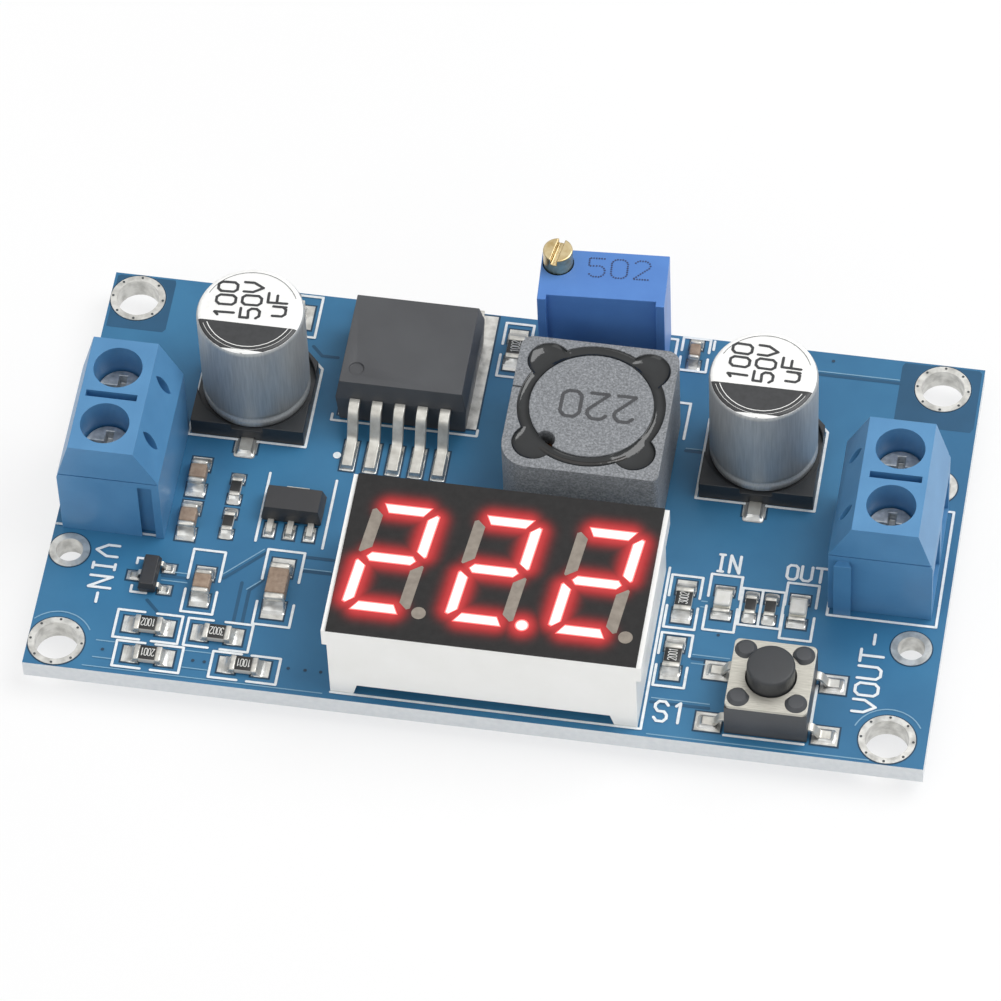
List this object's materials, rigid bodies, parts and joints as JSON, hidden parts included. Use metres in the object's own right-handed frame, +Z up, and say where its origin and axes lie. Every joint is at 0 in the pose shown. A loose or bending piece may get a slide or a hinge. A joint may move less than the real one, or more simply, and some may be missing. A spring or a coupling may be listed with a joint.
{
  "type": "buck converter module",
  "caption": "Step-down converter board with a red three-digit voltage display, screw terminals, trimmer, shielded inductor, electrolytic capacitors and a push button.",
  "frame": {"origin": "under the middle of the board, level with the ends of the soldered tails it stands on", "axes": "+X along the board from the input to the output terminal, +Y to the back edge, +Z up"},
  "size_m": [0.066, 0.036, 0.0146],
  "materials": {
    "solder_mask": "glass-epoxy laminate under a satin blue solder mask",
    "plated_copper": "tinned copper sleeve",
    "tinned_pads": "tinned copper pad",
    "solder": "bright solder",
    "terminal_plastic": "blue moulded polyamide, satin",
    "tinned_brass": "tinned brass tube",
    "zinc_screws": "zinc-plated steel screw",
    "guard_plate": "spring steel plate",
    "capacitor_base_plastic": "black moulded base",
    "capacitor_can": "drawn aluminium can",
    "tinned_leads": "tin-plated copper lead",
    "epoxy_package": "black moulded epoxy",
    "ferrite": "grey sintered ferrite, speckled",
    "copper_wire": "enamelled copper wire",
    "dark_resin": "glossy dark potting resin",
    "trimmer_plastic": "light blue moulded plastic",
    "brass_screw": "turned brass screw",
    "seal_resin": "epoxy seal",
    "display_plastic": "white moulded plastic",
    "display_ink": "black printed face",
    "lit_segment": "clear resin bar, glowing red",
    "unlit_segment": "milky resin bar, unlit",
    "display_laminate": "laminate of the display",
    "switch_plastic": "black moulded plastic",
    "switch_steel": "satin stainless sheet",
    "resistor_coat": "black glaze on alumina",
    "chip_ends": "tinned end cap",
    "capacitor_ceramic": "tan ceramic",
    "led_laminate": "white laminate carrier",
    "led_resin": "clear epoxy lens",
    "led_ends_metal": "tinned end of the carrier"
  },
  "bodies": {
    "root": {"circuit_board": "solder_mask", "plated_holes": "plated_copper", "solder_pads": "tinned_pads", "solder_joints": "solder", "input_terminal_housing": "terminal_plastic", "output_terminal_housing": "terminal_plastic", "input_wire_clamps": "tinned_brass", "output_wire_clamps": "tinned_brass", "input_capacitor_base": "capacitor_base_plastic", "input_capacitor_can": "capacitor_can", "output_capacitor_base": "capacitor_base_plastic", "output_capacitor_can": "capacitor_can", "capacitor_leads": "tinned_leads", "regulator_body": "epoxy_package", "regulator_tab": "tinned_leads", "regulator_leads": "tinned_leads", "inductor_shield": "ferrite", "inductor_core": "ferrite", "inductor_winding": "copper_wire", "inductor_resin": "dark_resin", "inductor_terminals": "tinned_leads", "trimmer_housing": "trimmer_plastic", "trimmer_seal": "seal_resin", "trimmer_pins": "tinned_leads", "display_housing": "display_plastic", "display_face": "display_ink", "display_lit_segments": "lit_segment", "display_unlit_segments": "unlit_segment", "display_board": "display_laminate", "display_pins": "tinned_leads", "switch_base": "switch_plastic", "switch_cover": "switch_steel", "switch_dome": "switch_steel", "switch_terminals": "tinned_leads", "diode_body": "epoxy_package", "diode_leads": "tinned_leads", "transistor_body": "epoxy_package", "transistor_leads": "tinned_leads", "reference_body": "epoxy_package", "reference_leads": "tinned_leads", "resistor_bodies": "resistor_coat", "resistor_ends": "chip_ends", "ceramic_capacitor_bodies": "capacitor_ceramic", "ceramic_capacitor_ends": "chip_ends", "led_bodies": "led_laminate", "led_lenses": "led_resin", "led_ends": "led_ends_metal", "controller_body": "epoxy_package", "controller_leads": "tinned_leads"},
    "trimmer_screw": {"trimmer_screw": "brass_screw"},
    "button": {"switch_plunger": "switch_plastic"},
    "guard_input_front": {"input_guard_front": "guard_plate"},
    "screw_input_front": {"input_screw_front": "zinc_screws"},
    "guard_input_back": {"input_guard_back": "guard_plate"},
    "screw_input_back": {"input_screw_back": "zinc_screws"},
    "guard_output_front": {"output_guard_front": "guard_plate"},
    "screw_output_front": {"output_screw_front": "zinc_screws"},
    "guard_output_back": {"output_guard_back": "guard_plate"},
    "screw_output_back": {"output_screw_back": "zinc_screws"}
  },
  "joints": [
    {"name": "trimmer_turn", "type": "hinge", "parent": "root", "child": "trimmer_screw", "pos_m": [0.00134, 0.01601, 0.013], "axis": [0, 0, 1], "continuous": true},
    {"name": "button_press", "type": "slide", "parent": "root", "child": "button", "axis": [0, 0, -1], "range_m": [0, 0.00025], "stiffness_N_per_m": 1500, "springref_m": -0.0003, "deforming": ["switch_dome"]},
    {"name": "clamp_input_front", "type": "slide", "parent": "root", "child": "guard_input_front", "axis": [0, 0, 1], "range_m": [0, 0.002]},
    {"name": "screw_input_front", "type": "hinge", "parent": "guard_input_front", "child": "screw_input_front", "pos_m": [-0.029, -0.00321, 0.009], "axis": [0, 0, 1], "range_deg": [0, 1440]},
    {"name": "clamp_input_back", "type": "slide", "parent": "root", "child": "guard_input_back", "axis": [0, 0, 1], "range_m": [0, 0.002]},
    {"name": "screw_input_back", "type": "hinge", "parent": "guard_input_back", "child": "screw_input_back", "pos_m": [-0.029, 0.00187, 0.009], "axis": [0, 0, 1], "range_deg": [0, 1440]},
    {"name": "clamp_output_front", "type": "slide", "parent": "root", "child": "guard_output_front", "axis": [0, 0, 1], "range_m": [0, 0.002]},
    {"name": "screw_output_front", "type": "hinge", "parent": "guard_output_front", "child": "screw_output_front", "pos_m": [0.0285, -0.00245, 0.009], "axis": [0, 0, 1], "range_deg": [0, 1440]},
    {"name": "clamp_output_back", "type": "slide", "parent": "root", "child": "guard_output_back", "axis": [0, 0, 1], "range_m": [0, 0.002]},
    {"name": "screw_output_back", "type": "hinge", "parent": "guard_output_back", "child": "screw_output_back", "pos_m": [0.0285, 0.00263, 0.009], "axis": [0, 0, 1], "range_deg": [0, 1440]}
  ],
  "couplings": [
    {"joint": "screw_input_front", "follows": "clamp_input_front", "rad_per_m": 12566},
    {"joint": "screw_input_back", "follows": "clamp_input_back", "rad_per_m": 12566},
    {"joint": "screw_output_front", "follows": "clamp_output_front", "rad_per_m": 12566},
    {"joint": "screw_output_back", "follows": "clamp_output_back", "rad_per_m": 12566}
  ]
}
